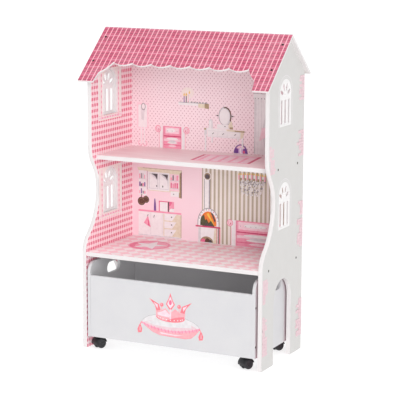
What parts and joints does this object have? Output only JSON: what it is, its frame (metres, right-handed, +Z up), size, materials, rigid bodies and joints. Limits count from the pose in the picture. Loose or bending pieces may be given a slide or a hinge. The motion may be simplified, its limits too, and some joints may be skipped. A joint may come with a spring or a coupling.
{
  "type": "wooden dollhouse",
  "caption": "Open-fronted wooden dollhouse with two storeys, a pitched scalloped roof and a toy box on castors that rolls out of the bay beneath.",
  "frame": {"origin": "on the floor, at the middle of the whole object's bounding box", "axes": "+Z up towards the roof ridge, +Y towards the back, the open front and the toy box face -Y, +X to the right seen from the front"},
  "size_m": [0.578, 0.2977, 0.9],
  "materials": {
    "side_print": "white lacquered fibreboard, pink check printed on the inside",
    "upper_floor_print": "pale pink printed fibreboard, satin",
    "lower_floor_print": "pink and white chequer print, satin",
    "upper_wall_print": "printed hardboard, satin",
    "lower_wall_print": "printed hardboard, satin",
    "roof_print": "pink tile print, satin",
    "white_lattice": "white lacquered hardboard",
    "box_white": "white lacquered fibreboard, satin",
    "zinc_screw": "dark bronze plated",
    "beech_dowel": "plain beech",
    "castor_plate_steel": "black coated steel",
    "castor_pin_steel": "zinc plated",
    "castor_nylon": "moulded black nylon",
    "castor_wheel_plastic": "moulded black nylon"
  },
  "bodies": {
    "root": {"left_side_panel": "side_print", "right_side_panel": "side_print", "upper_floor": "upper_floor_print", "lower_floor": "lower_floor_print", "upper_back_panel": "upper_wall_print", "lower_back_panel": "lower_wall_print", "roof_front_panel": "roof_print", "roof_back_panel": "roof_print", "upper_left_window": "white_lattice", "upper_right_window": "white_lattice", "lower_left_window": "white_lattice", "lower_right_window": "white_lattice", "upper_floor_screws": "zinc_screw", "lower_floor_screws": "zinc_screw", "roof_screws": "zinc_screw", "floor_dowels": "beech_dowel", "upper_back_screws": "zinc_screw", "lower_back_screws": "zinc_screw"},
    "toy_box": {"box_front": "box_white", "box_back": "box_white", "box_left_side": "box_white", "box_right_side": "box_white", "box_base": "box_white", "box_screws": "zinc_screw", "box_base_dowels": "beech_dowel", "castor_screws": "zinc_screw", "front_left_castor_plate": "castor_plate_steel", "front_right_castor_plate": "castor_plate_steel", "rear_left_castor_plate": "castor_plate_steel", "rear_right_castor_plate": "castor_plate_steel"},
    "front_left_castor_body": {"front_left_castor_hood": "castor_nylon", "front_left_castor_kingpin": "castor_pin_steel"},
    "front_left_castor_wheel_pair": {"front_left_castor_wheels": "castor_wheel_plastic", "front_left_castor_axle": "castor_pin_steel"},
    "front_right_castor_body": {"front_right_castor_hood": "castor_nylon", "front_right_castor_kingpin": "castor_pin_steel"},
    "front_right_castor_wheel_pair": {"front_right_castor_wheels": "castor_wheel_plastic", "front_right_castor_axle": "castor_pin_steel"},
    "rear_left_castor_body": {"rear_left_castor_hood": "castor_nylon", "rear_left_castor_kingpin": "castor_pin_steel"},
    "rear_left_castor_wheel_pair": {"rear_left_castor_wheels": "castor_wheel_plastic", "rear_left_castor_axle": "castor_pin_steel"},
    "rear_right_castor_body": {"rear_right_castor_hood": "castor_nylon", "rear_right_castor_kingpin": "castor_pin_steel"},
    "rear_right_castor_wheel_pair": {"rear_right_castor_wheels": "castor_wheel_plastic", "rear_right_castor_axle": "castor_pin_steel"}
  },
  "joints": [
    {"name": "toy_box_roll", "type": "slide", "parent": "root", "child": "toy_box", "axis": [0, -1, 0], "range_m": [0, 0.32]},
    {"name": "front_left_castor_swivel", "type": "hinge", "parent": "toy_box", "child": "front_left_castor_body", "pos_m": [-0.23, -0.1175, 0.033], "axis": [0, 0, 1], "continuous": true},
    {"name": "front_left_castor_roll", "type": "hinge", "parent": "front_left_castor_body", "child": "front_left_castor_wheel_pair", "pos_m": [-0.23516, -0.12721, 0.014], "axis": [0.8829, -0.4695, 0], "continuous": true},
    {"name": "front_right_castor_swivel", "type": "hinge", "parent": "toy_box", "child": "front_right_castor_body", "pos_m": [0.23, -0.1175, 0.033], "axis": [0, 0, 1], "continuous": true},
    {"name": "front_right_castor_roll", "type": "hinge", "parent": "front_right_castor_body", "child": "front_right_castor_wheel_pair", "pos_m": [0.22484, -0.12721, 0.014], "axis": [0.8829, -0.4695, 0], "continuous": true},
    {"name": "rear_left_castor_swivel", "type": "hinge", "parent": "toy_box", "child": "rear_left_castor_body", "pos_m": [-0.23, 0.0915, 0.033], "axis": [0, 0, 1], "continuous": true},
    {"name": "rear_left_castor_roll", "type": "hinge", "parent": "rear_left_castor_body", "child": "rear_left_castor_wheel_pair", "pos_m": [-0.23516, 0.08179, 0.014], "axis": [0.8829, -0.4695, 0], "continuous": true},
    {"name": "rear_right_castor_swivel", "type": "hinge", "parent": "toy_box", "child": "rear_right_castor_body", "pos_m": [0.23, 0.0915, 0.033], "axis": [0, 0, 1], "continuous": true},
    {"name": "rear_right_castor_roll", "type": "hinge", "parent": "rear_right_castor_body", "child": "rear_right_castor_wheel_pair", "pos_m": [0.22484, 0.08179, 0.014], "axis": [0.8829, -0.4695, 0], "continuous": true}
  ]
}
